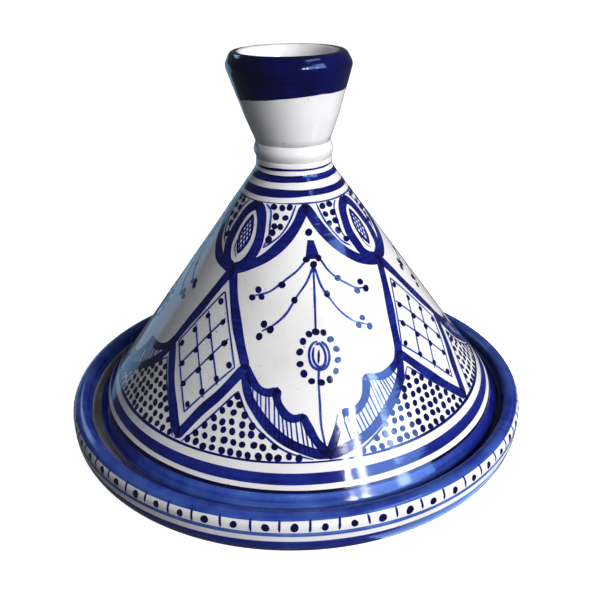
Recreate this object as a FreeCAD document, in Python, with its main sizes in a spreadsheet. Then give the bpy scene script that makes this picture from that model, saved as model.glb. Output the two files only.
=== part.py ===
# Serving tagine: a shallow glazed dish and the conical lid that stands in it.
# The lid is three thrown pieces joined while soft: cone, neck collar and knob cup.
# All lengths are millimetres, +Z is up, and the origin is the centre of the foot's plane.

import FreeCAD
import Part
import Sketcher
import os

# How a sketch's constraints name its origin point and its two axes.
ORIGIN = (-1, 1)
RADIUS_AXIS = -1
HEIGHT_AXIS = -2

SIZES = {
    # foot and outside of the dish
    "foot_radius": 100.0,
    "foot_width": 11.0,
    "foot_flare": 1.5,
    "foot_height": 5.0,
    "foot_hollow": 4.0,
    "foot_recess": 3.5,
    "edge_round": 1.0,
    "belly_height": 22.0,
    "belly_round": 17.0,
    "rim_radius": 150.5,
    "rim_height": 47.0,
    "rim_round": 6.5,
    "rim_width": 9.4,
    "rim_inner_round": 3.6,
    # inside of the dish: the ledge that carries the lid, then the cooking well
    "throat_radius": 138.4,
    "throat_drop": 7.5,
    "throat_round": 4.0,
    "seat_radius": 137.6,
    "seat_height": 33.0,
    "seat_width": 7.8,
    "seat_round": 3.0,
    "well_radius": 112.0,
    "well_height": 12.0,
    "well_round": 20.0,
    # cone of the lid
    "seat_gap": 0.3,
    "cone_radius": 129.3,
    "cone_height": 48.0,
    "cone_wall": 9.1,
    "skirt_radius": 110.0,
    "skirt_height": 72.0,
    "skirt_round": 300.0,
    "flange_radius": 134.8,
    "flange_depth": 6.2,
    "flange_round": 3.0,
    "flange_foot_round": 2.0,
    "flange_hollow": 20.0,
    "flange_width": 13.3,
    "neck_radius": 23.2,
    "neck_height": 192.5,
    "neck_hollow": 9.0,
    "crown_height": 198.5,
    "vault_radius": 19.3,
    "vault_height": 186.0,
    "vault_round": 9.0,
    # collar of clay round the joint
    "spigot_radius": 17.5,
    "collar_height": 9.7,
    "collar_rise": 4.5,
    "collar_edge": 22.6,
    "collar_radius": 24.7,
    "collar_round": 5.0,
    # knob cup
    "cup_waist_height": 15.3,
    "cup_waist_radius": 28.3,
    "cup_waist_round": 60.0,
    "cup_radius": 37.3,
    "cup_shoulder": 6.3,
    "cup_shoulder_round": 4.2,
    "cup_height": 259.9,
    "cup_crest_radius": 33.4,
    "cup_crest_round": 3.2,
    "cup_mouth_radius": 28.4,
    "cup_mouth_drop": 1.0,
    "cup_mouth_round": 1.6,
    "cup_throat_radius": 15.0,
    "cup_throat_height": 214.0,
    "cup_throat_round": 10.0,
    "cup_floor_radius": 11.0,
    "cup_floor_height": 203.5,
    "cup_floor_round": 6.0,
}

# Each outline is a list of corners: radius, height and the rounding of that corner.
# A coordinate is a sum of named sizes, and an empty one is zero.
DISH_OUTLINE = [
    ("", "foot_recess", ""),
    ("foot_radius - foot_width", "foot_recess", "edge_round"),
    ("foot_radius - foot_width", "", "edge_round"),
    ("foot_radius", "", "edge_round"),
    ("foot_radius + foot_flare", "foot_height", "foot_hollow"),
    ("rim_radius", "belly_height", "belly_round"),
    ("rim_radius", "rim_height", "rim_round"),
    ("rim_radius - rim_width", "rim_height", "rim_inner_round"),
    ("throat_radius", "rim_height - throat_drop", "throat_round"),
    ("seat_radius", "seat_height", "seat_round"),
    ("seat_radius - seat_width", "seat_height", "seat_round"),
    ("well_radius", "well_height", "well_round"),
    ("", "well_height", ""),
]

CONE_OUTLINE = [
    ("", "vault_height", ""),
    ("vault_radius", "vault_height", "vault_round"),
    ("cone_radius - cone_wall", "cone_height", "vault_round"),
    ("flange_radius - flange_width", "seat_height + seat_gap", "edge_round"),
    ("flange_radius", "seat_height + seat_gap", "flange_foot_round"),
    ("flange_radius", "cone_height - flange_depth", "flange_round"),
    ("cone_radius", "cone_height", "flange_hollow"),
    ("skirt_radius", "skirt_height", "skirt_round"),
    ("neck_radius", "neck_height", "neck_hollow"),
    ("neck_radius", "crown_height", "edge_round"),
    ("", "crown_height", ""),
]

COLLAR_OUTLINE = [
    ("spigot_radius", "crown_height", ""),
    ("collar_edge", "crown_height", "edge_round"),
    ("collar_radius", "crown_height + collar_rise", "collar_round"),
    ("collar_edge", "crown_height + collar_height", ""),
    ("spigot_radius", "crown_height + collar_height", ""),
]

CUP_OUTLINE = [
    ("", "crown_height", ""),
    ("spigot_radius", "crown_height", ""),
    ("spigot_radius", "crown_height + collar_height", ""),
    ("collar_edge", "crown_height + collar_height", ""),
    ("cup_waist_radius", "crown_height + collar_height + cup_waist_height", "cup_waist_round"),
    ("cup_radius", "cup_height - cup_shoulder", "cup_shoulder_round"),
    ("cup_crest_radius", "cup_height", "cup_crest_round"),
    ("cup_mouth_radius", "cup_height - cup_mouth_drop", "cup_mouth_round"),
    ("cup_throat_radius", "cup_throat_height", "cup_throat_round"),
    ("cup_floor_radius", "cup_floor_height", "cup_floor_round"),
    ("", "cup_floor_height", ""),
]

PIECES = {
    "base_dish": DISH_OUTLINE,
    "lid_cone": CONE_OUTLINE,
    "neck_collar": COLLAR_OUTLINE,
    "knob_cup": CUP_OUTLINE,
}


def make_sheet(doc):
    """Put every driving size in a spreadsheet cell with its name as alias."""
    sheet = doc.addObject("Spreadsheet::Sheet", "Sizes")
    for row, (name, size) in enumerate(SIZES.items(), start=1):
        sheet.set("A%d" % row, name)
        sheet.set("B%d" % row, str(size))
        sheet.setAlias("B%d" % row, name)
    doc.recompute()
    return sheet


def worked_out(sum_of_names):
    """Give the number for a sum of named sizes, for the sketch's first guess."""
    total = 0.0
    sign = 1
    for word in sum_of_names.split():
        if word in "+-":
            sign = 1 if word == "+" else -1
        else:
            total += sign * SIZES[word]
    return total


def bound(sum_of_names):
    """Give the same sum as an expression that reads the spreadsheet."""
    words = sum_of_names.split()
    return " ".join(word if word in "+-" else "Sizes." + word for word in words)


def origin_feature(body, role):
    """Find an origin plane or axis of the body by its role."""
    return next(item for item in body.Origin.OriginFeatures if item.Role == role)


def rounded_ends(before, corner, after, radius):
    """Give the two tangent points and the middle point of a corner's rounding arc."""
    back = (before - corner).normalize()
    forth = (after - corner).normalize()
    reach = radius * (1 + back.dot(forth)) / back.cross(forth).Length
    middle_way = (back + forth).normalize()
    centre_reach = (reach ** 2 + radius ** 2) ** 0.5
    start = corner + back * reach
    end = corner + forth * reach
    middle = corner + middle_way * (centre_reach - radius)
    return start, middle, end


def tie_point(sketch, label, geometry_point, corner):
    """Hold a point of the sketch at the radius and height that the corner names."""
    radius, height, _ = corner
    if radius:
        row = sketch.addConstraint(
            Sketcher.Constraint("DistanceX", *ORIGIN, *geometry_point, worked_out(radius)))
        sketch.renameConstraint(row, label + "_radius")
        sketch.setExpression("Constraints.%s_radius" % label, bound(radius))
    else:
        sketch.addConstraint(Sketcher.Constraint("PointOnObject", *geometry_point, HEIGHT_AXIS))
    if height:
        row = sketch.addConstraint(
            Sketcher.Constraint("DistanceY", *ORIGIN, *geometry_point, worked_out(height)))
        sketch.renameConstraint(row, label + "_height")
        sketch.setExpression("Constraints.%s_height" % label, bound(height))
    else:
        sketch.addConstraint(Sketcher.Constraint("PointOnObject", *geometry_point, RADIUS_AXIS))


def draw_outline(sketch, outline):
    """Draw a closed outline of lines with tangent arcs at its rounded corners."""
    spots = [FreeCAD.Vector(worked_out(corner[0]), worked_out(corner[1]), 0) for corner in outline]
    count = len(outline)
    arcs = {}
    for place, corner in enumerate(outline):
        if corner[2]:
            arcs[place] = rounded_ends(
                spots[place - 1], spots[place], spots[(place + 1) % count], worked_out(corner[2]))
    lines = []
    for place in range(count):
        following = (place + 1) % count
        start = arcs[place][2] if place in arcs else spots[place]
        end = arcs[following][0] if following in arcs else spots[following]
        lines.append(sketch.addGeometry(Part.LineSegment(start, end), False))
    for place, corner in enumerate(outline):
        label = "corner%d" % place
        before = lines[place - 1]
        after = lines[place]
        if place not in arcs:
            sketch.addConstraint(Sketcher.Constraint("Coincident", before, 2, after, 1))
            tie_point(sketch, label, (after, 1), corner)
            continue
        start, middle, end = arcs[place]
        arc = Part.Arc(start, middle, end)
        arc_row = sketch.addGeometry(arc, False)
        runs_on = (spots[place] - start).cross(end - spots[place]).z > 0
        first, last = (1, 2) if runs_on else (2, 1)
        sketch.addConstraint(Sketcher.Constraint("Tangent", before, 2, arc_row, first))
        sketch.addConstraint(Sketcher.Constraint("Tangent", arc_row, last, after, 1))
        mark = sketch.addGeometry(Part.Point(spots[place]), True)
        sketch.addConstraint(Sketcher.Constraint("PointOnObject", mark, 1, before))
        sketch.addConstraint(Sketcher.Constraint("PointOnObject", mark, 1, after))
        tie_point(sketch, label, (mark, 1), corner)
        row = sketch.addConstraint(Sketcher.Constraint("Radius", arc_row, worked_out(corner[2])))
        sketch.renameConstraint(row, label + "_round")
        sketch.setExpression("Constraints.%s_round" % label, bound(corner[2]))


def throw_piece(doc, name, outline):
    """Make one thrown piece: its outline turned a full circle about the height axis."""
    body = doc.addObject("PartDesign::Body", name)
    body.Label = name
    body.Placement = FreeCAD.Placement()
    sketch = body.newObject("Sketcher::SketchObject", name + "_outline")
    sketch.AttachmentSupport = [(origin_feature(body, "XZ_Plane"), "")]
    sketch.MapMode = "FlatFace"
    draw_outline(sketch, outline)
    doc.recompute()
    turned = body.newObject("PartDesign::Revolution", name + "_turned")
    turned.Profile = sketch
    turned.ReferenceAxis = (sketch, ["V_Axis"])
    turned.Angle = 360.0
    sketch.Visibility = False
    doc.recompute()
    return body


def check_document(doc, bodies):
    """Stop unless every object was recomputed and every piece is one sound solid."""
    for item in doc.Objects:
        if "Invalid" in item.State or "Error" in item.State:
            raise RuntimeError("%s failed: %s" % (item.Label, item.State))
    for body in bodies:
        shape = body.Shape
        if shape.isNull() or not shape.isValid() or len(shape.Solids) != 1:
            raise RuntimeError("%s has no sound solid" % body.Label)


def main():
    """Build the document, check it and write one STEP file for each piece."""
    doc = FreeCAD.newDocument("Tagine")
    make_sheet(doc)
    bodies = [throw_piece(doc, name, outline) for name, outline in PIECES.items()]
    doc.recompute()
    check_document(doc, bodies)
    os.makedirs("parts", exist_ok=True)
    for body in bodies:
        body.Shape.exportStep("parts/%s.step" % body.Label)
        box = body.Shape.optimalBoundingBox(False)
        print("%s: radius %.1f, height %.1f to %.1f, volume %.0f ml" % (
            body.Label, box.XMax, box.ZMin, box.ZMax, body.Shape.Volume / 1000))


main()
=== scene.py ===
"""A painted tagine pot: a footed dish with a raised rim, and a tall cone lid with a collar and a cup knob.

White glaze is turned as solid skins that stand for the CAD parts. The cobalt painting is thin closed slabs of
colour lying on those skins: turned bands for the wheel-painted rings, and brush strokes laid out flat on the
unrolled cone and wrapped round it. Lengths are in millimetres until a mesh is made, in metres.
"""

import bisect
import math
import random

import bpy
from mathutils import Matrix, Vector, geometry


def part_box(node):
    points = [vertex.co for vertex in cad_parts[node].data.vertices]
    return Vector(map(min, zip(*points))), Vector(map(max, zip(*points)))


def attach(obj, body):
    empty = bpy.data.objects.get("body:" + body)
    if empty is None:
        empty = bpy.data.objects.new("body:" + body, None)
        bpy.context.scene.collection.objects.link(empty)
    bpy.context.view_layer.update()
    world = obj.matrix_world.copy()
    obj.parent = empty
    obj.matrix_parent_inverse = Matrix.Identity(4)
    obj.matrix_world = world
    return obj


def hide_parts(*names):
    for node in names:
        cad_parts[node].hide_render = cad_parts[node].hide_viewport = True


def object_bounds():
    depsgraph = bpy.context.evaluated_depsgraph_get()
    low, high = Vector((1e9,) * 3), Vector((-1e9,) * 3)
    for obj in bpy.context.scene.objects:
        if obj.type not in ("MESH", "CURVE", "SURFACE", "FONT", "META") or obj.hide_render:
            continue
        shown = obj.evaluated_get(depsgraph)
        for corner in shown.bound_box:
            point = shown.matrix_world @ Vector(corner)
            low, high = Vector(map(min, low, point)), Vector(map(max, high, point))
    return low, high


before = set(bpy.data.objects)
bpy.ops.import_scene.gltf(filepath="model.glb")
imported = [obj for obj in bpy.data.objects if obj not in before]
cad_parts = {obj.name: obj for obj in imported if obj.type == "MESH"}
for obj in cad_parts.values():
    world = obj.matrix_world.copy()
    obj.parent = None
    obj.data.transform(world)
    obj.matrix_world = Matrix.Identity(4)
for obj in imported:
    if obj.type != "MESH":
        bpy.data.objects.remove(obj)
cad_low, cad_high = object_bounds()

MM = 0.001
TURN = 360
SEGMENTS = 240
RUN_STEP = 5.0
ARC_STEP = 0.7

# How the paint lies on the glaze: how far it stands proud, and how far it goes in.
PAINT_PROUD = 0.10
OVERPAINT_PROUD = 0.14
PAINT_SUNK = 0.15

# How strongly each kind of mark is loaded with cobalt, from 0 (bare) to 1 (nearly black).
WASH = 0.42
FINE = 0.56
BROAD = 0.74
RING = 0.78
HEAVY = 0.9

# The lid was made by hand: it sits a little off the middle, and its knob leans back over it.
LID_OFFSET = 1.75
KNOB_LEAN = -0.036


def box_mm(name):
    low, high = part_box(name)
    return low / MM, high / MM


dish_low, dish_high = box_mm("base_dish")
cone_low, cone_high = box_mm("lid_cone")
collar_low, collar_high = box_mm("neck_collar")
cup_low, cup_high = box_mm("knob_cup")


# ---------------------------------------------------------------- outlines and turned solids


def unit(run, rise):
    length = math.hypot(run, rise)
    return run / length, rise / length


def arc_between(before, corner, after, radius):
    """Points of the arc that rounds one corner."""
    back = unit(before[0] - corner[0], before[1] - corner[1])
    forth = unit(after[0] - corner[0], after[1] - corner[1])
    opening = math.acos(max(-1.0, min(1.0, back[0] * forth[0] + back[1] * forth[1])))
    reach = radius / math.tan(opening / 2)
    sweep = math.pi - opening
    middle = unit(back[0] + forth[0], back[1] + forth[1])
    to_centre = radius / math.sin(opening / 2)
    centre = (corner[0] + middle[0] * to_centre, corner[1] + middle[1] * to_centre)
    start = (corner[0] + back[0] * reach, corner[1] + back[1] * reach)
    turning = 1 if back[0] * forth[1] - back[1] * forth[0] < 0 else -1
    first = math.atan2(start[1] - centre[1], start[0] - centre[0])
    count = max(3, math.ceil(sweep * radius / ARC_STEP))
    return [
        (
            centre[0] + radius * math.cos(first + turning * sweep * i / count),
            centre[1] + radius * math.sin(first + turning * sweep * i / count),
        )
        for i in range(count + 1)
    ]


def rounded(corners):
    """The outline through corners (radius, height, rounding), with points every few millimetres."""
    points = []
    for i, corner in enumerate(corners):
        if len(corner) < 3:
            points.append(corner[:2])
        else:
            points += arc_between(corners[i - 1], corner, corners[(i + 1) % len(corners)], corner[2])
    fine = [points[0]]
    for here, there in zip(points, points[1:]):
        count = max(1, math.ceil(math.dist(here, there) / RUN_STEP))
        for i in range(1, count + 1):
            part = i / count
            fine.append((here[0] + (there[0] - here[0]) * part, here[1] + (there[1] - here[1]) * part))
    return fine


def placed(radius, angle, height, body):
    """A point in metres: angle in degrees from the front, growing towards +X."""
    turn = math.radians(angle)
    x = radius * math.sin(turn)
    y = -radius * math.cos(turn)
    if body == "lid":
        x += LID_OFFSET + KNOB_LEAN * max(0.0, height - cone_high.z)
    return Vector((x, y, height)) * MM


def new_piece(name, verts, faces, body, pigments=None, sharp=()):
    mesh = bpy.data.meshes.new(name)
    mesh.from_pydata(verts, [], faces)
    mesh.shade_smooth()
    if pigments is not None:
        mesh.attributes.new("pigment", "FLOAT", "FACE").data.foreach_set("value", pigments)
    if sharp:
        flags = mesh.attributes.new("sharp_edge", "BOOLEAN", "EDGE")
        for edge in mesh.edges:
            if tuple(sorted(edge.vertices)) in sharp:
                flags.data[edge.index].value = True
    mesh.validate()
    piece = bpy.data.objects.new(name, mesh)
    bpy.context.scene.collection.objects.link(piece)
    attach(piece, body)
    return piece


def turned(name, outline, body, node, closed=False):
    """A solid turned from an outline that starts and ends on the axis, or from a closed ring's section."""
    verts, rows, faces = [], [], []
    for radius, height in outline:
        row = [len(verts)]
        if radius > ARC_STEP / 10:
            row = list(range(len(verts), len(verts) + SEGMENTS))
        verts += [placed(radius, TURN * i / SEGMENTS, height, body) for i in range(len(row))]
        rows.append(row)
    pairs = list(zip(rows, rows[1:]))
    if closed:
        pairs.append((rows[-1], rows[0]))
    for low, high in pairs:
        for i in range(SEGMENTS):
            after = (i + 1) % SEGMENTS
            if len(low) == 1 and len(high) == 1:
                continue
            if len(low) == 1:
                faces.append((low[0], high[after], high[i]))
            elif len(high) == 1:
                faces.append((low[i], low[after], high[0]))
            else:
                faces.append((low[i], low[after], high[after], high[i]))
    piece = new_piece(name, verts, faces, body)
    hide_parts(node)
    return piece


class Side:
    """The surface of a turned solid, by distance along its outline."""

    def __init__(self, outline, body):
        self.points = outline
        self.body = body
        self.along = [0.0]
        for here, there in zip(outline, outline[1:]):
            self.along.append(self.along[-1] + math.dist(here, there))
        self.outward = []
        for i in range(len(outline)):
            before = outline[max(0, i - 1)]
            after = outline[min(len(outline) - 1, i + 1)]
            run, rise = unit(after[0] - before[0], after[1] - before[1])
            self.outward.append((rise, -run))

    def at(self, distance, angle, proud):
        """The point in metres at that distance along the outline, standing proud of the surface."""
        i = max(0, min(len(self.along) - 2, bisect.bisect_left(self.along, distance) - 1))
        part = (distance - self.along[i]) / max(1e-9, self.along[i + 1] - self.along[i])
        radius, height = (a + (b - a) * part for a, b in zip(self.points[i], self.points[i + 1]))
        out = unit(*(a + (b - a) * part for a, b in zip(self.outward[i], self.outward[i + 1])))
        return placed(radius + out[0] * proud, angle, height + out[1] * proud, self.body)

    def where(self, height, start=0.0):
        """How far along the outline it first passes a height, after a start."""
        for i in range(len(self.points) - 1):
            low, high = self.points[i][1], self.points[i + 1][1]
            if self.along[i] >= start and (low - height) * (high - height) <= 0 and low != high:
                return self.along[i] + (self.along[i + 1] - self.along[i]) * (height - low) / (high - low)
        raise ValueError(f"the outline doesn't pass {height}")

    def peak(self, axis):
        """How far along the outline it is widest (axis 0) or highest (axis 1)."""
        best = max(range(len(self.points)), key=lambda i: self.points[i][axis])
        return self.along[best]


FOOT_RISE = 3.5
dish_wide = dish_high.x
dish_top = dish_high.z
dish_outline = rounded([
    (0, FOOT_RISE),
    (89, FOOT_RISE, 1),
    (89, 0, 1),
    (100, 0, 1),
    (101.5, 5, 4),
    (dish_wide, 22, 17),
    (dish_wide, dish_top, 6.5),
    (dish_wide - 9.4, dish_top, 3.6),
    (138.4, dish_top - 7.5, 4),
    (137.6, 33, 3),
    (129.8, 33, 3),
    (112, 12, 20),
    (0, 12),
])

lid_wide = (cone_high.x - cone_low.x) / 2
lid_top = cone_high.z
flange_low = cone_low.z
SHOULDER_RADIUS = 129.3
SHOULDER_HEIGHT = 48.0
SKIRT_RADIUS = 110.0
SKIRT_HEIGHT = 72.0
NECK_RADIUS = 23.2
NECK_HEIGHT = lid_top - 6
lid_outline = rounded([
    (0, lid_top - 12.5),
    (19.3, lid_top - 12.5, 9),
    (120.2, SHOULDER_HEIGHT, 9),
    (121.5, flange_low, 1),
    (lid_wide, flange_low, 2),
    (lid_wide, SHOULDER_HEIGHT - 6.2, 3),
    (SHOULDER_RADIUS, SHOULDER_HEIGHT, 20),
    (SKIRT_RADIUS, SKIRT_HEIGHT, 300),
    (NECK_RADIUS, NECK_HEIGHT, 9),
    (NECK_RADIUS, lid_top, 0.6),
    (0, lid_top),
])

PLUG_RADIUS = 17.5
COLLAR_EDGE = 22.6
collar_outline = rounded([
    (PLUG_RADIUS, lid_top),
    (COLLAR_EDGE, lid_top, 1),
    (24.7, lid_top + 4.5, 5),
    (COLLAR_EDGE, collar_high.z),
    (PLUG_RADIUS, collar_high.z),
])

# The rim's corner stands a little above the rounded crest that the CAD box reaches.
cup_top = cup_high.z + 0.4
cup_outline = rounded([
    (0, lid_top),
    (PLUG_RADIUS, lid_top),
    (PLUG_RADIUS, collar_high.z),
    (COLLAR_EDGE, collar_high.z),
    (28.3, cup_top - 36.4, 60),
    (37.2, cup_top - 7.6, 5.4),
    (33.2, cup_top, 3.3),
    (28.4, cup_top - 1.0, 1.6),
    (15, cup_top - 45.9, 10),
    (11, lid_top + 5, 6),
    (0, lid_top + 5),
])

dish_side = Side(dish_outline, "dish")
lid_side = Side(lid_outline, "lid")
cup_side = Side(cup_outline, "lid")


# ---------------------------------------------------------------- wheel-painted bands


def slab(name, tops, bottoms, faces, body, pigments):
    """A thin closed slab from a sheet of faces, its top and bottom points given in the same order."""
    count = len(tops)
    owner, rims = {}, {}
    for index, face in enumerate(faces):
        for a, b in zip(face, face[1:] + face[:1]):
            owner[(a, b)] = index
    solid = [tuple(face) for face in faces]
    solid += [tuple(count + i for i in reversed(face)) for face in faces]
    shades = list(pigments) * 2
    for (a, b), index in owner.items():
        if (b, a) not in owner:
            solid.append((b, a, count + a, count + b))
            shades.append(pigments[index])
            rims[tuple(sorted((a, b)))] = True
            rims[tuple(sorted((count + a, count + b)))] = True
    return new_piece(name, tops + bottoms, solid, body, shades, rims)


def wave(rng, size):
    """A slow uneven drift round the pot, for an edge drawn by a hand on a turning wheel."""
    swings = [(k, size / (1 + 0.5 * k), rng.uniform(0, TURN)) for k in (1, 2, 3, 5, 9, 17)]
    return lambda angle: sum(high * math.sin(math.radians(k * angle + late)) for k, high, late in swings)


def level(angle):
    return 0.0


def band(
    name, side, low, high, pigment, seed, wobble=0.25, tilt=level, lift=level, side_shade=0.0
):
    """A ring of paint between two distances along a turned side.

    Its edges are moved by tilt and lift, and its pigment grows deeper away from the front: painted shade that
    darkens the ring towards its sides and back.
    """
    rng = random.Random(seed)
    lower, upper = wave(rng, wobble), wave(rng, wobble)
    rows = max(2, math.ceil(abs(high - low) / 1.2))
    tops, bottoms, faces = [], [], []
    for turn in range(SEGMENTS):
        angle = TURN * turn / SEGMENTS
        start = low + lower(angle) + tilt(angle)
        stop = high + upper(angle) + lift(angle)
        for row in range(rows + 1):
            distance = start + (stop - start) * row / rows
            tops.append(side.at(distance, angle, PAINT_PROUD))
            bottoms.append(side.at(distance, angle, -PAINT_SUNK))
    width = rows + 1
    loads_with_side_shade = []
    for turn in range(SEGMENTS):
        after = (turn + 1) % SEGMENTS
        away = 1 - math.cos(math.tau * turn / SEGMENTS)
        for row in range(rows):
            here = turn * width + row
            there = after * width + row
            faces.append((here, there, there + 1, here + 1))
            # Painted shade: the paint darkens away from the front, most at the back.
            loads_with_side_shade.append(min(1.0, pigment + side_shade * away))
    return slab(name, tops, bottoms, faces, side.body, loads_with_side_shade)


# ---------------------------------------------------------------- brush strokes


class ConeSheet:
    """The side of the lid unrolled flat about one angle, as if it were a straight cone."""

    def __init__(self, middle, proud):
        slope = math.atan2(SKIRT_RADIUS - NECK_RADIUS, NECK_HEIGHT - SKIRT_HEIGHT)
        self.sine, self.cosine = math.sin(slope), math.cos(slope)
        self.tip = SKIRT_HEIGHT + SKIRT_RADIUS * self.cosine / self.sine
        self.middle = middle
        self.proud = proud
        self.body = "lid"
        outer = lid_side.peak(0)
        outline = zip(lid_side.points, lid_side.along)
        slant = [(z, far) for (_, z), far in outline if far > outer and z < lid_top]
        self.heights = [z for z, _ in slant]
        self.reaches = [far for _, far in slant]

    def flat(self, across, height):
        reach = (self.tip - height) / self.cosine
        turn = math.radians(across) * self.sine
        return Vector((reach * math.sin(turn), -reach * math.cos(turn)))

    def space(self, spot, proud):
        reach = spot.length
        across = math.degrees(math.atan2(spot.x, -spot.y)) / self.sine
        height = self.tip - reach * self.cosine
        i = max(1, min(len(self.heights) - 1, bisect.bisect_left(self.heights, height)))
        part = (height - self.heights[i - 1]) / (self.heights[i] - self.heights[i - 1])
        along = self.reaches[i - 1] + (self.reaches[i] - self.reaches[i - 1]) * part
        return lid_side.at(along, self.middle + across, proud)


class WallSheet:
    """The outside of the dish's rim laid flat, by angle and height."""

    def __init__(self, side, radius, proud):
        self.side = side
        self.radius = radius
        self.proud = proud
        self.body = side.body

    def flat(self, across, height):
        return Vector((math.radians(across) * self.radius, self.side.where(height)))

    def space(self, spot, proud):
        return self.side.at(spot.y, math.degrees(spot.x / self.radius), proud)


STROKE_STEP = 1.6
WELD = 0.004


def curve_through(points):
    """An even smooth curve through flat points."""
    if len(points) == 2:
        count = max(2, math.ceil((points[1] - points[0]).length / STROKE_STEP))
        return [points[0].lerp(points[1], i / count) for i in range(count + 1)]
    ends = [points[0] * 2 - points[1]] + list(points) + [points[-1] * 2 - points[-2]]
    curve = []
    for a, b, c, d in zip(ends, ends[1:], ends[2:], ends[3:]):
        count = max(2, math.ceil((c - b).length / STROKE_STEP))
        for i in range(count):
            t = i / count
            bend = (2 * a - 5 * b + 4 * c - d) * t**2
            twist = (3 * b - a - 3 * c + d) * t**3
            curve.append(0.5 * (2 * b + (c - a) * t + bend + twist))
    return curve + [points[-1]]


class Drawing:
    """Marks made on a flat sheet, that become one thin slab of paint, deeper where marks cross."""

    def __init__(self, sheet, seed):
        self.sheet = sheet
        self.rng = random.Random(seed)
        self.marks = []
        self.inner = []

    def near(self, point, spread=0.35):
        """The flat place of a point, as near as a hand comes to it."""
        spot = self.sheet.flat(*point)
        return spot + Vector((self.rng.uniform(-spread, spread), self.rng.uniform(-spread, spread)))

    def stroke(self, points, width, pigment, ends=(0.55, 0.55), spread=0.35):
        """A brush stroke through points, thinner at its ends."""
        curve = curve_through([self.near(point, spread) for point in points])
        swell = self.rng.uniform(0.04, 0.1)
        late = self.rng.uniform(0, math.tau)
        left, right = [], []
        for i, spot in enumerate(curve):
            part = i / (len(curve) - 1)
            run = (curve[min(i + 1, len(curve) - 1)] - curve[max(i - 1, 0)]).normalized()
            fat = min(1.0, ends[0] + part * 6, ends[1] + (1 - part) * 6)
            half = width / 2 * fat * (1 + swell * math.sin(late + part * 11))
            side = Vector((-run.y, run.x)) * half
            left.append(spot + side)
            right.append(spot - side)
        if width > 2 * STROKE_STEP:
            self.inner += curve[1:-1]
        first, last = (curve[0] - curve[1]).normalized(), (curve[-1] - curve[-2]).normalized()
        tip = [curve[-1] + last * (left[-1] - right[-1]).length / 2]
        heel = [curve[0] + first * (left[0] - right[0]).length / 2]
        self.marks.append((heel + right + tip + left[::-1], pigment))

    def dot(self, point, size, pigment=HEAVY, tall=1.0, spread=0.35):
        """A round touch of a loaded brush."""
        middle = self.near(point, spread)
        size *= self.rng.uniform(0.9, 1.1)
        lean = self.rng.uniform(0, math.tau)
        round_about = []
        for i in range(12):
            turn = math.tau * i / 12
            reach = size / 2 * (1 + 0.07 * math.sin(2 * turn + lean))
            round_about.append(middle + Vector((reach * math.cos(turn), reach * tall * math.sin(turn))))
        self.marks.append((round_about, pigment))
        self.inner += [middle.lerp(spot, 0.5) for spot in round_about[::2]] + [middle]

    def fill(self, points, pigment):
        """A patch of paint with straight sides."""
        corners = [self.near(point) for point in points]
        outline = []
        for here, there in zip(corners, corners[1:] + corners[:1]):
            count = max(1, math.ceil((there - here).length / STROKE_STEP))
            outline += [here.lerp(there, i / count) for i in range(count)]
        middle = sum(corners, Vector((0, 0))) / len(corners)
        self.inner += [middle.lerp(spot, 0.5) for spot in outline] + [middle]
        self.marks.append((outline, pigment))

    def made(self, name):
        """The drawing as one closed piece, wrapped on to the pot."""
        spots, loops = [], []
        for outline, _ in self.marks:
            area = sum(a.x * b.y - b.x * a.y for a, b in zip(outline, outline[1:] + outline[:1]))
            ordered = outline if area > 0 else outline[::-1]
            loops.append(list(range(len(spots), len(spots) + len(ordered))))
            spots += ordered
        spots += self.inner
        flat, _, faces, _, _, owners = geometry.delaunay_2d_cdt(spots, [], loops, 0, WELD, True)
        kept = [(list(face), own) for face, own in zip(faces, owners) if own]
        used = sorted({i for face, _ in kept for i in face})
        new_index = {old: new for new, old in enumerate(used)}
        facing = 1 if self.upright(flat, kept[0][0]) else -1
        sheets, shades = [], []
        for face, own in kept:
            sheets.append(tuple(new_index[i] for i in face[::facing]))
            bare = math.prod(1 - self.marks[i][1] for i in own)
            shades.append(1 - bare)
        tops = [self.sheet.space(flat[i], self.sheet.proud) for i in used]
        bottoms = [self.sheet.space(flat[i], -PAINT_SUNK) for i in used]
        return slab(name, tops, bottoms, sheets, self.sheet.body, shades)

    def upright(self, flat, face):
        """Whether a flat face keeps its outside outside when it is wrapped on."""
        a, b, c = (self.sheet.space(flat[i], 0) for i in face[:3])
        raised = self.sheet.space(flat[face[0]], 1)
        return (b - a).cross(c - a).dot(raised - a) > 0


# ---------------------------------------------------------------- the motifs

# The eyes stand at these angles, and the four bays between them.
EYES = (-40.0, 56.0, 144.0, 224.0)
# How far each bay's scallops hang lower than the front bay's, and how much its sprig's branches close up.
DROOPS = (0.0, 5.0, 8.0, 11.0)
CLOSINGS = (0.0, 0.2, 0.3, 0.5)
WIDEST = 48.0
LEFT_NODE = -27.5
RIGHT_NODE = 32.5

# Points of the widest bay: degrees from its middle, and height.
ARCHES = (
    [(2, 177), (-8, 166.5), (-18, 158.5), (-28, 151.5), (-38, 146.5), (-46, 143.5)],
    [(2, 177), (5, 173.5), (12, 165), (22, 155), (32, 147.5), (42, 144), (48, 143)],
)
SPANDREL_LINES = (
    [(-36.5, 177), (-31, 174), (-28.8, 168), (-28.5, 162), (-30.5, 156)],
    [(-7, 177.3), (-13, 169.5), (-20, 162.5), (-30, 156.5)],
    [(13, 177.5), (16, 170), (21, 163), (26, 157.5), (31, 154)],
    [(36, 177), (31, 174), (28.5, 168), (28, 162), (29.5, 157)],
)
SPANDREL_DOTS = (
    [(-29, 176.2), (-21, 176.1), (-13, 176.2), (-25, 171.5), (-16.5, 171.5), (-25.5, 167.2)]
    + [(-20, 167), (-25.5, 163.6), (-28, 160.3)]
    + [(18.5, 176.2), (26.5, 176.2), (19, 171.7), (27, 172), (20, 167.2), (26.5, 167.5)]
    + [(25.5, 163), (29.8, 157.8)]
)
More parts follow.
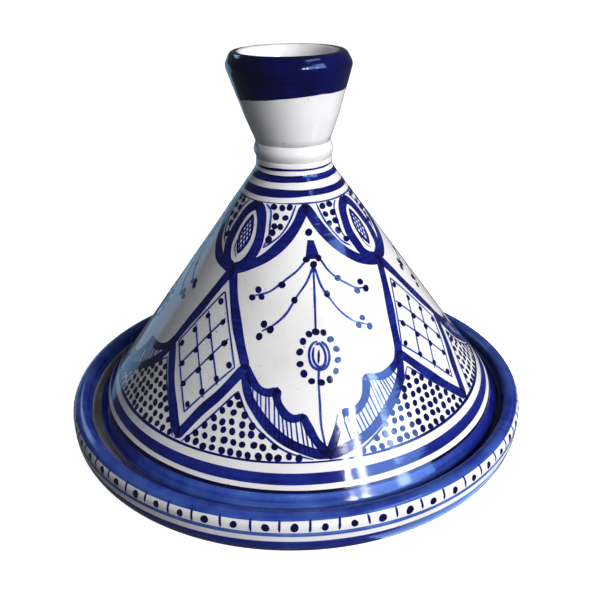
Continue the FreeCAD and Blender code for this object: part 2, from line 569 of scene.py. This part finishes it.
CRESCENT_EDGES = (
    [(-27.5, 99), (-24.7, 88), (-21, 80), (-16, 73), (-11, 67.6), (-5, 63.8), (-0.5, 61.8)],
    [(32.5, 100), (30, 91.5), (27.5, 87), (23.5, 81), (18.5, 75.2), (13, 70), (7, 65.6), (-0.5, 61.8)],
)
SCALLOPS = (
    [(-27.5, 100.5), (-24.3, 94.5), (-21.5, 91.2), (-18.5, 89.5), (-15.2, 90.5)],
    [(-15.2, 91.2), (-15.1, 87), (-14.1, 83), (-12.2, 79.9), (-10, 78.7), (-7.2, 79.4)],
    [(-7, 80), (-6, 75.5), (-4.4, 70.3), (-2.5, 66), (-0.6, 62.4)],
    [(32.5, 101), (29.5, 96), (26, 93), (22.5, 91.8), (19, 92), (15.4, 93)],
    [(15.2, 93.3), (14.8, 89.5), (13.5, 85.5), (11.5, 81.7), (9, 79.7), (4.8, 79.7)],
    [(4.8, 80.3), (3.7, 75.5), (2.4, 71), (0.9, 66.5), (-0.4, 62.4)],
)
LOWER_LINES = (
    [(-28.5, 88.5), (-25.5, 82), (-22, 75.5), (-18, 70.5), (-14, 66), (-10, 63.3), (-5, 60.7)],
    [(33, 91), (28, 84.5), (23, 78.5), (17, 71), (11, 64.5), (6, 60.7)],
)
LOWER_OUTSIDES = (
    [(-28.5, 88.5), (-38, 70), (-42.5, 60.7)],
    [(33, 91), (40, 79.5), (50, 60.7)],
)
SPRIG_BRANCHES = (
    [(-3, 150.5), (-8, 146), (-13, 142.3), (-21, 136.6), (-26, 134.3), (-29.5, 133.2)],
    [(7, 150.5), (10, 145.5), (14, 141), (19, 137.2), (24, 134), (28, 133)],
    [(1.5, 147), (-3, 140.5), (-8, 134), (-13, 126), (-18, 121), (-23.5, 117)],
    [(2.5, 147), (4.5, 139), (7, 133), (12, 125), (17, 119.5), (22.5, 116.3)],
)
SPRIG_BERRIES = (
    [(2.2, 164.2), (-16.1, 139.5), (14.5, 140.7), (-9.3, 132.3), (6.8, 134)]
    + [(-28, 136.2), (-30.5, 132), (-25.7, 133)]
    + [(27.3, 136), (23.5, 133), (28.7, 132.4)]
    + [(-22.8, 120.4), (-19.9, 118), (-23.9, 114.5)]
    + [(21.4, 119.7), (18.7, 117), (23.7, 115.3)]
)
SPRIG_MIDDLE = 122.5
SPRIG_HEAD = [(-0.2, 160.2), (-2.8, 151), (7, 151), (4.8, 160.2)]
SPRIG_FEET = [(-1.6, 151), (5.8, 151.2), (2.3, 148.6)]
SPRIG_STEMS = (
    [(1.5, 147), (0.5, 135), (-0.4, 118)],
    [(-0.9, 99.5), (-1.5, 93.7), (-1.8, 85), (-1.7, 75), (-1.2, 65)],
)
FLOWER_MIDDLE = (-0.6, 105.6)
FLOWER_REACH = (7.25, 11.8)
FLOWER_DOTS = 14
HEART_MIDDLE = (-0.3, 106.3)

# Points of a column, the eye above and the lattice below: degrees from the eye's axis, and height.
EYE_MIDDLE = 160.2
EYE_REACH = (12.6, 15.8)
PUPIL_REACH = (4.9, 9.9)
DIAMOND = (
    [(0.8, 143), (-9, 121), (-12.5, 112), (-16, 98.5)],
    [(0.8, 143), (7, 132), (12, 121), (16.5, 110.5), (20.5, 100)],
    [(-16, 98.5), (-7.5, 83), (-0.5, 69.5), (3.4, 62.2)],
    [(20.5, 100), (13.5, 86), (8.5, 76), (4.8, 66), (3.4, 62.2)],
)
LATTICE = {"top": (1, 131.5), "right": (16.3, 99), "left": (-13, 101), "bottom": (3, 72.8)}
LATTICE_LINES = (0.36, 0.64)
LATTICE_DOTS = (0.07, 0.36, 0.64, 0.93)

DOT_SIZE = 4.1
LOWER_TOP = 86.6
LOWER_ROWS = 7
ROW_GAP = 4.1
DOT_GAP = 5.6
TIP_HEIGHT = 62.0


def crossed(points, height):
    """How far across a line through points is at a height."""
    for (a, low), (b, high) in zip(points, points[1:]):
        if low != high and (low - height) * (high - height) <= 0:
            return a + (b - a) * (height - low) / (high - low)
    return None


def height_over(points, across):
    """How high a line through points is at a place across."""
    for (a, low), (b, high) in zip(points, points[1:]):
        if a != b and (a - across) * (b - across) <= 0:
            return low + (high - low) * (across - a) / (b - a)
    return None


class Bay:
    """One bay of the lid's pattern, squeezed to the width between its two columns."""

    def __init__(self, number, middle, half):
        self.number = number
        self.left = (half - WIDEST - LEFT_NODE) / -LEFT_NODE
        self.right = (half - WIDEST + RIGHT_NODE) / RIGHT_NODE
        self.droop = DROOPS[number - 1]
        self.closing = CLOSINGS[number - 1]
        self.paint = Drawing(ConeSheet(middle, PAINT_PROUD), 40 + number)

    def fit(self, across):
        return across * (self.left if across < 0 else self.right)

    def line(self, points, width, pigment, ends=(0.55, 0.55), spread=0.35):
        self.paint.stroke([(self.fit(a), z) for a, z in points], width, pigment, ends, spread)

    def touch(self, point, size, pigment=HEAVY, tall=1.0):
        self.paint.dot((self.fit(point[0]), point[1]), size, pigment, tall)

    def hung(self, points):
        """A scallop's points, let down most near the bay's middle, with the crescents' tip kept in place."""
        return [
            (a, z - self.droop * (1 - min(1, abs(a) / RIGHT_NODE)) ** 2 * min(1, max(0, z - TIP_HEIGHT) / 18))
            for a, z in points
        ]

    def closed(self, points):
        """A sprig branch's points, the upper and lower branches brought together towards their ends."""
        return [
            (
                a * (1 - 0.26 * self.closing),
                z + (SPRIG_MIDDLE - z) * self.closing * min(1, abs(a) / 25),
            )
            for a, z in points
        ]

    def arches(self):
        for points in ARCHES:
            self.line(points, 6.2, BROAD, (0.7, 0.8))
        for points in SPANDREL_LINES:
            self.line(points, 1.15, FINE)
        for point in SPANDREL_DOTS:
            self.touch(point, DOT_SIZE)

    def crescents(self):
        for points in CRESCENT_EDGES:
            self.line(points, 5.4, BROAD, (0.9, 0.6))
        lobes = [self.hung(points) for points in SCALLOPS]
        for points in lobes:
            self.line(points, 4.7, BROAD, (0.8, 0.7))
        self.touch((-0.5, 62.8), 5.5, BROAD)
        self.hatch(CRESCENT_EDGES[0], lobes[:3], -23.5, -4.5, 1.4, 1.0)
        self.hatch(CRESCENT_EDGES[1], lobes[3:], 28.5, 4.5, -1.25, 2.0)

    def hatch(self, edge, lobes, start, stop, step, lean):
        """Fine strokes side by side from a scalloped edge down to the crescent's outer edge."""
        count = int((stop - start) / step)
        for i in range(count + 1):
            across = start + step * i + self.paint.rng.uniform(-0.25, 0.25)
            tops = [height_over(lobe, across) for lobe in lobes]
            high = max((top for top in tops if top is not None), default=None)
            low = height_over(edge, across + lean)
            if high is not None and low is not None and high - low > 4:
                self.line([(across, high - 1), (across + lean, low - 1.8)], 1.0, FINE, (0.9, 0.6), 0.2)

    def lower_dots(self):
        """The two curved triangles of dots that stand on the bottom ring."""
        for inside, outside in zip(LOWER_LINES, LOWER_OUTSIDES):
            self.line(inside, 1.15, FINE)
            self.line(outside, 1.15, FINE)
            for row in range(LOWER_ROWS):
                height = LOWER_TOP - ROW_GAP * row
                self.dot_row(crossed(inside, height), crossed(outside, height), height)

    def dot_row(self, one, other, height):
        if one is None or other is None:
            return
        low, high = sorted((self.fit(one), self.fit(other)))
        per_degree = math.radians(SKIRT_RADIUS - (height - SKIRT_HEIGHT) * lid_taper)
        margin = 2.4 / per_degree
        room = (high - low) - 2 * margin
        count = max(1, round(room * per_degree / DOT_GAP) + 1)
        for i in range(count):
            part = 0.5 if count == 1 else i / (count - 1)
            self.paint.dot((low + margin + room * part, height), DOT_SIZE * 0.97, spread=0.6)

    def sprig(self):
        """The sprig in the middle of the bay: a bell, four branches with berries, and a flower on a stem."""
        self.paint.fill([(self.fit(a), z) for a, z in SPRIG_HEAD], BROAD)
        for point in SPRIG_FEET:
            self.touch(point, 4.4)
        for points in SPRIG_BRANCHES:
            self.line(self.closed(points), 1.35, FINE, (0.9, 0.5))
        for points in SPRIG_STEMS:
            self.line(points, 1.35, FINE, (0.9, 0.6))
        for point in self.closed(SPRIG_BERRIES):
            self.touch(point, DOT_SIZE)
        for i in range(FLOWER_DOTS):
            turn = math.tau * i / FLOWER_DOTS
            across = FLOWER_MIDDLE[0] + FLOWER_REACH[0] * math.sin(turn)
            self.touch((across, FLOWER_MIDDLE[1] + FLOWER_REACH[1] * math.cos(turn)), DOT_SIZE)
        for wide, tall, start in ((3.9, 6.6, 0.4), (2.4, 5.4, -0.3)):
            loop = [
                (
                    HEART_MIDDLE[0] + wide * math.sin(start + math.tau * i / 13),
                    HEART_MIDDLE[1] + tall * math.cos(start + math.tau * i / 13),
                )
                for i in range(13)
            ]
            self.line(loop, 1.6, FINE, (0.8, 0.5), 0.15)
        self.line([(-0.4, 108.6), (-0.7, 103)], 1.3, BROAD)

    def made(self):
        self.arches()
        self.crescents()
        self.lower_dots()
        self.sprig()
        return self.paint.made(f"lid_bay_{self.number}")


lid_taper = (SKIRT_RADIUS - NECK_RADIUS) / (NECK_HEIGHT - SKIRT_HEIGHT)


def eye(paint):
    """An eye: a heavy ring in two brush strokes round a netted pupil."""
    for way, first in ((-1, 0.0), (1, 0.1)):
        ring = [
            (
                way * EYE_REACH[0] * math.sin(first + (math.pi - first) * i / 8),
                EYE_MIDDLE + EYE_REACH[1] * math.cos(first + (math.pi - first) * i / 8),
            )
            for i in range(9)
        ]
        paint.stroke(ring, 6.1, BROAD, (0.8, 0.7))
    wide, tall = PUPIL_REACH
    for way in (-1, 1):
        lid = [(way * wide * (1 - (i / 3) ** 2), EYE_MIDDLE + 0.8 + tall * i / 3) for i in range(-3, 4)]
        paint.stroke(lid, 1.3, BROAD, spread=0.15)
    paint.stroke([(-5.2, EYE_MIDDLE - 2), (-4.3, EYE_MIDDLE - 7), (-0.5, EYE_MIDDLE - 11)], 0.7, FINE)
    for way in (-1, 1):
        for i in range(-4, 5):
            net_line(paint, way, i * 4.1)


def net_line(paint, way, shift):
    """One slanting line of the pupil's net, cut off at the pupil's edge."""
    wide, tall = PUPIL_REACH
    inside = []
    for i in range(-20, 21):
        across = wide * i / 20
        height = shift + way * across * 1.5
        if abs(height) < tall and abs(across) <= wide * (1 - (height / tall) ** 2):
            inside.append((across, EYE_MIDDLE + 0.8 + height))
    if len(inside) > 3:
        paint.stroke([inside[0], inside[-1]], 0.85, FINE, (0.9, 0.9), 0.1)


def lattice_point(right, left):
    """A place in the lattice, from 0 to 1 towards its right corner and towards its left corner."""
    weights = {
        "top": (1 - right) * (1 - left),
        "right": right * (1 - left),
        "left": (1 - right) * left,
        "bottom": right * left,
    }
    return tuple(sum(weights[k] * LATTICE[k][axis] for k in LATTICE) for axis in (0, 1))


def lattice(paint):
    """The diamond: four heavy sides, and inside them a fine lattice with a dot at each crossing."""
    for points in DIAMOND:
        paint.stroke(points, 5.8, BROAD, (0.75, 0.75))
    for place in (0.0, *LATTICE_LINES, 1.0):
        paint.stroke([lattice_point(place, 0.0), lattice_point(place, 1.0)], 1.1, FINE, (0.9, 0.7))
        paint.stroke([lattice_point(0.0, place), lattice_point(1.0, place)], 1.1, FINE, (0.9, 0.7))
    for right in LATTICE_DOTS:
        for left in LATTICE_DOTS:
            paint.dot(lattice_point(right, left), DOT_SIZE * 0.93, spread=0.5)


def column(number, angle):
    paint = Drawing(ConeSheet(angle, OVERPAINT_PROUD), 60 + number)
    eye(paint)
    lattice(paint)
    return paint.made(f"lid_column_{number}")


CELLS = 60
FIRST_TICK = 2.0
TICK_TOP = 45.3
TICK_FEET = (39.0, 40.2)
CELL_DOT_HEIGHT = 41.6


def dish_ticks():
    """The rim's frieze: an upright tick at each cell's edge and a dot in each cell."""
    paint = Drawing(WallSheet(dish_side, dish_wide, PAINT_PROUD), 90)
    step = TURN / CELLS
    for i in range(-CELLS // 2, CELLS // 2):
        angle = FIRST_TICK + step * i + paint.rng.uniform(-0.35, 0.35)
        slant = paint.rng.uniform(-0.25, 0.25)
        foot = paint.rng.uniform(*TICK_FEET)
        paint.stroke([(angle, TICK_TOP), (angle + slant, foot)], 1.4, BROAD, (1.0, 0.5), 0.1)
        paint.dot((angle + step / 2, CELL_DOT_HEIGHT), 4.2, tall=1.1, spread=0.4)
    return paint.made("dish_frieze")


# ---------------------------------------------------------------- materials


def wired(material, kind, inputs=(), **settings):
    """A new node, with its settings, and its inputs given as values or as other nodes' outputs."""
    made = material.node_tree.nodes.new(kind)
    for key, value in settings.items():
        setattr(made, key, value)
    for key, value in dict(inputs).items():
        if isinstance(value, bpy.types.NodeSocket):
            material.node_tree.links.new(value, made.inputs[key])
        else:
            made.inputs[key].default_value = value
    return made


def stretched(material, scale):
    """The object's own coordinates, stretched."""
    place = wired(material, "ShaderNodeTexCoord").outputs["Object"]
    return wired(material, "ShaderNodeMapping", {"Vector": place, "Scale": scale}).outputs["Vector"]


def brushed(material, along, across):
    """Coordinates that change slowly round the pot and fast across a wheel-painted ring."""
    place = wired(material, "ShaderNodeTexCoord").outputs["Object"]
    parts = wired(material, "ShaderNodeSeparateXYZ", {"Vector": place}).outputs
    around = wired(material, "ShaderNodeCombineXYZ", {"X": parts["X"], "Y": parts["Y"]}).outputs["Vector"]
    radius = wired(material, "ShaderNodeVectorMath", {0: around}, operation="LENGTH").outputs["Value"]
    rise = sums(material, "SUBTRACT", radius, parts["Z"])
    inputs = {
        "X": sums(material, "MULTIPLY", parts["X"], along),
        "Y": sums(material, "MULTIPLY", parts["Y"], along),
        "Z": sums(material, "MULTIPLY", rise, across),
    }
    return wired(material, "ShaderNodeCombineXYZ", inputs).outputs["Vector"]


def noise(material, vector, scale, detail=4.0, roughness=0.55):
    inputs = {"Vector": vector, "Scale": scale, "Detail": detail, "Roughness": roughness}
    return wired(material, "ShaderNodeTexNoise", inputs).outputs["Fac"]


def ramp(material, factor, stops):
    """A colour ramp: stops are (place, colour) with colours of three numbers, or one for a grey."""
    made = wired(material, "ShaderNodeValToRGB", {"Fac": factor})
    elements = made.color_ramp.elements
    while len(elements) < len(stops):
        elements.new(0.5)
    for element, (place, colour) in zip(elements, stops):
        element.position = place
        element.color = (*colour, 1) if isinstance(colour, tuple) else (colour, colour, colour, 1)
    return made.outputs["Color"]


def sums(material, operation, first, second):
    return wired(material, "ShaderNodeMath", {0: first, 1: second}, operation=operation).outputs["Value"]


def glaze_relief(material):
    """Throwing rings and a faint orange-peel skin under the glaze."""
    rings = noise(material, stretched(material, (3, 3, 260)), 1.0, 3.0)
    skin = noise(material, stretched(material, (1, 1, 1)), 170.0, 2.0)
    swell = noise(material, stretched(material, (1, 1, 1)), 26.0, 2.0)
    rings = sums(material, "MULTIPLY", rings, 0.5)
    skin = sums(material, "MULTIPLY", skin, 0.2)
    swell = sums(material, "MULTIPLY", swell, 2.2)
    height = sums(material, "ADD", sums(material, "ADD", rings, skin), swell)
    inputs = {"Height": height, "Strength": 0.35, "Distance": 0.0006}
    return wired(material, "ShaderNodeBump", inputs).outputs["Normal"]


def finished(material, colour, roughness):
    """The shiny tin glaze that covers both the white and the blue."""
    surface = material.node_tree.nodes["Principled BSDF"]
    links = material.node_tree.links
    links.new(colour, surface.inputs["Base Color"])
    links.new(roughness, surface.inputs["Roughness"])
    links.new(glaze_relief(material), surface.inputs["Normal"])
    surface.inputs["IOR"].default_value = 1.5
    surface.inputs["Specular IOR Level"].default_value = 0.55
    return material


def new_material(name):
    material = bpy.data.materials.new(name)
    material.use_nodes = True
    return material


def white_glaze():
    material = new_material("white_glaze")
    tone = noise(material, stretched(material, (1, 1, 1)), 22.0, 5.0)
    whites = [(0.3, (0.72, 0.71, 0.72)), (0.5, (0.80, 0.79, 0.80)), (0.7, (0.85, 0.845, 0.86))]
    colour = ramp(material, tone, whites)
    specks = noise(material, stretched(material, (1, 1, 1)), 420.0, 2.0, 0.4)
    iron = ramp(material, specks, [(0.74, 0.0), (0.79, 1.0)])
    mixed = wired(
        material,
        "ShaderNodeMix",
        {"Factor": iron, "A": colour, "B": (0.36, 0.27, 0.2, 1)},
        data_type="RGBA",
    )
    polish = ramp(material, noise(material, stretched(material, (1, 1, 1)), 60.0), [(0.3, 0.04), (0.7, 0.12)])
    return finished(material, mixed.outputs["Result"], polish)


def bare_and_shaded_seat():
    """The wiped ring where the lid rests: thin greyish glaze over the clay, rubbed by the lid, with its dark
    greys also painted shade for the lid's shadow in the gap.
    """
    material = new_material("bare_and_shaded_seat")
    rub = noise(material, brushed(material, 9, 260), 1.0, 5.0, 0.6)
    stain = noise(material, stretched(material, (1, 1, 1)), 40.0, 4.0)
    mix = sums(material, "ADD", sums(material, "MULTIPLY", rub, 0.5), sums(material, "MULTIPLY", stain, 0.5))
    bare_and_shaded_greys = [(0.35, (0.22, 0.2, 0.19)), (0.5, (0.34, 0.325, 0.32)), (0.65, (0.48, 0.47, 0.47))]
    colour = ramp(material, mix, bare_and_shaded_greys)
    polish = ramp(material, stain, [(0.3, 0.3), (0.7, 0.5)])
    return finished(material, colour, polish)


def cobalt_glaze():
    """Cobalt that goes from a pale wash to near black as the paint gets deeper."""
    material = new_material("cobalt_glaze")
    depth = wired(material, "ShaderNodeAttribute", attribute_name="pigment").outputs["Fac"]
    pool = noise(material, stretched(material, (1, 1, 1)), 55.0, 5.0)
    streak = noise(material, brushed(material, 5, 330), 1.0, 4.0, 0.62)
    pooled = sums(material, "MULTIPLY", pool, 0.36)
    streaked = sums(material, "MULTIPLY", streak, 0.42)
    loose = sums(material, "ADD", pooled, streaked)
    load = sums(material, "ADD", depth, sums(material, "SUBTRACT", loose, 0.39))
    colour = ramp(
        material,
        load,
        [
            (0.2, (0.26, 0.40, 0.80)),
            (0.42, (0.050, 0.115, 0.45)),
            (0.6, (0.012, 0.026, 0.25)),
            (0.78, (0.0035, 0.0055, 0.115)),
            (0.9, (0.0022, 0.0030, 0.058)),
            (1.0, (0.0016, 0.0016, 0.026)),
        ],
    )
    polish = ramp(material, pool, [(0.3, 0.04), (0.7, 0.13)])
    return finished(material, colour, polish)


# ---------------------------------------------------------------- building the pot


def build_pot():
    skins = [
        turned("dish_glaze", dish_outline, "dish", "base_dish"),
        turned("lid_glaze", lid_outline, "lid", "lid_cone"),
        turned("collar_glaze", collar_outline, "lid", "neck_collar", closed=True),
        turned("knob_glaze", cup_outline, "lid", "knob_cup"),
    ]
    paint = wheel_bands()
    for i, angle in enumerate(EYES):
        after = EYES[(i + 1) % len(EYES)] + (TURN if i + 1 == len(EYES) else 0)
        paint.append(column(i + 1, angle))
        paint.append(Bay(i + 1, (angle + after) / 2, (after - angle) / 2).made())
    paint.append(dish_ticks())
    return skins, paint


LID_RINGS = (
    ("neck_line", 194.7, 195.8, RING),
    ("neck_ring_high", 188.5, 192.2, RING),
    ("neck_ring_low", 181.3, 185.0, RING),
    ("pattern_line_high", 177.7, 178.5, FINE),
    ("pattern_line_low", 59.1, 60.5, RING),
    ("shoulder_ring", 51.0, 55.5, 0.68),
    # The shoulder line is the darkest ring: a painted line, and painted shade for the groove at the crease.
    ("shoulder_line_and_groove_shade", 47.3, 48.5, 1.0),
)
DISH_RINGS = (
    # name, start and stop height, whether each lies beyond the rim's crest, and pigment
    ("dish_belly_blue", (4.0, False), (33.2, False), 0.6),
    ("dish_pale_line", (36.3, False), (38.9, False), WASH),
    ("dish_rim_blue", (44.9, False), (39.9, True), 0.54),
)
FLANGE_BLUE_TOP = 47.3
FLANGE_BLUE_START = -2.2
FLANGE_EDGE_START = -7
FLANGE_EDGE_STOP = -2.3
# Heights of the seat ring: a grey band that is bare glaze and painted shade for the lid's shadow.
SEAT_BARE_SHADED_TOP = 39.6
SEAT_BARE_SHADED_LOW = 32.0
KNOB_BLUE_LOW = 236.4
KNOB_BLUE_TILT = 2.6
KNOB_BLUE_OVER = 1.7
KNOB_BLUE_WORN = -3.0
LEFT_SAG = -0.45


def heavier_left(angle):
    """The lower edge of a ring sags a little on the left."""
    return LEFT_SAG * max(0.0, -math.sin(math.radians(angle)))


def knob_tilt(angle):
    """The knob's blue reaches lower on one side."""
    return KNOB_BLUE_TILT * math.sin(math.radians(angle + 20))


def worn_back(angle):
    """The knob's blue stops short of the brim at the back."""
    return KNOB_BLUE_WORN * max(0.0, -math.cos(math.radians(angle))) ** 3


def wheel_bands():
    """Every ring painted with the pot turning on the wheel."""
    made = []
    outer = lid_side.peak(0)
    for seed, (name, low, high, pigment) in enumerate(LID_RINGS):
        low, high = lid_side.where(low, outer), lid_side.where(high, outer)
        made.append(band(f"lid_{name}", lid_side, low, high, pigment, seed, 0.3, heavier_left))
    flange_top = lid_side.where(FLANGE_BLUE_TOP, outer)
    flange_start = outer + FLANGE_BLUE_START
    # The flange blue darkens towards the sides as painted shade, and stays lightest at the front.
    made.append(band("lid_flange_blue", lid_side, flange_start, flange_top, 0.47, 11, 0.2, side_shade=0.45))
    edge_start, edge_stop = outer + FLANGE_EDGE_START, outer + FLANGE_EDGE_STOP
    made.append(band("lid_flange_edge", lid_side, edge_start, edge_stop, 0.9, 12, 0.2))
    crest = dish_side.peak(1)
    # Paint heights are looked for past the foot's inner edge, or past the crest on the inside of the rim.
    foot = dish_side.where(0.5)
    for seed, (name, start, stop, pigment) in enumerate(DISH_RINGS, 20):
        low, high = (dish_side.where(height, crest if inside else foot) for height, inside in (start, stop))
        made.append(band(name, dish_side, low, high, pigment, seed, 0.3))
    # The seat ring is grey: bare glaze, and painted shade for the lid's shadow in the gap.
    wall = dish_side.where(SEAT_BARE_SHADED_TOP, crest)
    ledge = dish_side.where(SEAT_BARE_SHADED_LOW, wall)
    made.append(band("dish_seat_bare_shaded", dish_side, wall, ledge, 0.0, 40, 0.3))
    knob_low, knob_high = cup_side.where(KNOB_BLUE_LOW), cup_side.peak(1) + KNOB_BLUE_OVER
    made.append(band("knob_lip_blue", cup_side, knob_low, knob_high, 0.93, 32, 0.5, knob_tilt, worn_back))
    return made


# ---------------------------------------------------------------- floor, light and camera


STAGE_REACH = 12.0


def plain_sheet(name, corners, faces, material, shadow=True):
    """A sheet that only the camera sees, so that it adds nothing to the light or the reflections."""
    mesh = bpy.data.meshes.new(name)
    mesh.from_pydata(corners, [], faces)
    mesh.materials.append(material)
    sheet = bpy.data.objects.new(name, mesh)
    sheet.visible_diffuse = False
    sheet.visible_glossy = False
    sheet.visible_shadow = shadow
    bpy.context.scene.collection.objects.link(sheet)


def pale_surface():
    material = new_material("pale_floor")
    surface = material.node_tree.nodes["Principled BSDF"]
    tone = noise(material, stretched(material, (1, 1, 1)), 3.0)
    colour = ramp(material, tone, [(0.3, 0.88), (0.7, 0.92)])
    material.node_tree.links.new(colour, surface.inputs["Base Color"])
    material.node_tree.links.new(colour, surface.inputs["Emission Color"])
    surface.inputs["Emission Strength"].default_value = 1.03
    surface.inputs["Roughness"].default_value = 0.9
    return material


def pale_stage(height):
    """The floor under the pot, and four walls far off so that low views have no horizon."""
    reach = STAGE_REACH
    corners = [(x * reach, y * reach, height) for x, y in ((-1, -1), (1, -1), (1, 1), (-1, 1))]
    above = [(x, y, z + reach) for x, y, z in corners]
    walls = [(i, (i + 1) % 4, (i + 1) % 4 + 4, i + 4) for i in range(4)]
    material = pale_surface()
    plain_sheet("floor", corners, [(0, 1, 2, 3)], material)
    plain_sheet("backdrop", corners + above, walls, material, shadow=False)


def lamp(name, azimuth, elevation, distance, size, radiance, colour, target, shown=True, lights=True):
    """A soft rectangular light that faces the pot, by how bright its own face is.

    It may be kept out of the glaze's reflections, or be only a reflection.
    """
    data = bpy.data.lights.new(name, "AREA")
    data.shape = "RECTANGLE"
    data.size, data.size_y = size
    data.energy = radiance * math.pi * size[0] * size[1]
    data.color = colour
    light = bpy.data.objects.new(name, data)
    turn, rise = math.radians(azimuth), math.radians(elevation)
    away = Vector((math.sin(turn) * math.cos(rise), -math.cos(turn) * math.cos(rise), math.sin(rise)))
    light.location = target + away * distance
    light.rotation_mode = "QUATERNION"
    light.rotation_quaternion = away.to_track_quat("Z", "Y")
    light.visible_glossy = shown
    light.visible_diffuse = lights
    bpy.context.scene.collection.objects.link(light)


# Each lamp: name, azimuth, elevation, distance, size, radiance, colour.
ROOM_LAMPS = (
    ("soft_key", 46, 24, 1.8, (1.1, 1.1), 12.4, (1.0, 0.99, 0.98)),
    ("overhead", 10, 85, 2.2, (1.2, 1.2), 0.6, (0.95, 0.97, 1.0)),
)
REFLECTED_LAMPS = (
    ("sky_right", 52, 33, 1.9, (1.3, 0.62), 8.0, (0.24, 0.46, 1.0)),
    ("sky_above", 62, 54, 1.9, (0.8, 0.3), 6.0, (0.3, 0.5, 1.0)),
    ("window_left_pane", 27, 31.5, 1.9, (0.08, 0.25), 45.0, (0.95, 0.97, 1.0)),
    ("window_middle_pane", 35, 31.5, 1.9, (0.12, 0.22), 34.0, (0.9, 0.95, 1.0)),
    ("window_right_pane", 56, 31, 1.9, (0.14, 0.24), 14.0, (0.6, 0.8, 1.0)),
    ("sky_left", -145, -4, 2.2, (1.5, 0.9), 0.75, (0.3, 0.62, 1.0)),
    ("sky_behind", -140, 31, 2.2, (1.1, 0.34), 3.0, (0.4, 0.62, 1.0)),
    ("glow_below", 100, -58, 2.0, (1.7, 1.1), 3.0, (0.3, 0.52, 1.0)),
)


def studio(target):
    """Soft light on the pot, and lights that are only seen in its glaze."""
    for settings in ROOM_LAMPS:
        lamp(*settings, target, shown=False)
    for settings in REFLECTED_LAMPS:
        lamp(*settings, target, lights=False)
    world = bpy.data.worlds.new("pale_room")
    world.use_nodes = True
    backdrop = world.node_tree.nodes["Background"]
    backdrop.inputs["Color"].default_value = (0.86, 0.92, 1.0, 1)
    backdrop.inputs["Strength"].default_value = 0.105
    bpy.context.scene.world = world


# The camera, in widths of the dish: how far in front of the pot's axis, how high and how far aside.
CAMERA_BACK = 1.465
CAMERA_UP = 1.033
CAMERA_ASIDE = -0.0002
CAMERA_PITCH = 25.51
CAMERA_YAW = 0.5
CAMERA_ROLL = -1.05
CAMERA_LENS = 44.04


def photographer(width):
    data = bpy.data.cameras.new("camera")
    data.sensor_width = 36
    data.lens = CAMERA_LENS
    camera = bpy.data.objects.new("camera", data)
    pitch, yaw, roll = (math.radians(v) for v in (CAMERA_PITCH, CAMERA_YAW, CAMERA_ROLL))
    ahead = Vector((math.sin(yaw) * math.cos(pitch), math.cos(yaw) * math.cos(pitch), -math.sin(pitch)))
    level = Vector((math.cos(yaw), -math.sin(yaw), 0))
    over = level.cross(ahead)
    right = level * math.cos(roll) + over * math.sin(roll)
    up = over * math.cos(roll) - level * math.sin(roll)
    basis = camera.matrix_world.to_3x3()
    for row in range(3):
        basis[row] = (right[row], up[row], -ahead[row])
    camera.rotation_mode = "QUATERNION"
    camera.rotation_quaternion = basis.to_quaternion()
    camera.location = (CAMERA_ASIDE * width, -CAMERA_BACK * width, CAMERA_UP * width)
    bpy.context.scene.collection.objects.link(camera)
    bpy.context.scene.camera = camera


skins, paint = build_pot()
# bare is the seat ring's grey material: bare glaze with painted shade from the lid.
white, cobalt, bare = white_glaze(), cobalt_glaze(), bare_and_shaded_seat()
for piece in skins:
    piece.data.materials.append(white)
for piece in paint:
    piece.data.materials.append(bare if piece.name == "dish_seat_bare_shaded" else cobalt)

pale_stage(cad_low.z)
studio(Vector((0, 0, cad_high.z * 0.4)))
photographer(cad_high.x - cad_low.x)
bpy.context.scene.view_settings.view_transform = "Standard"
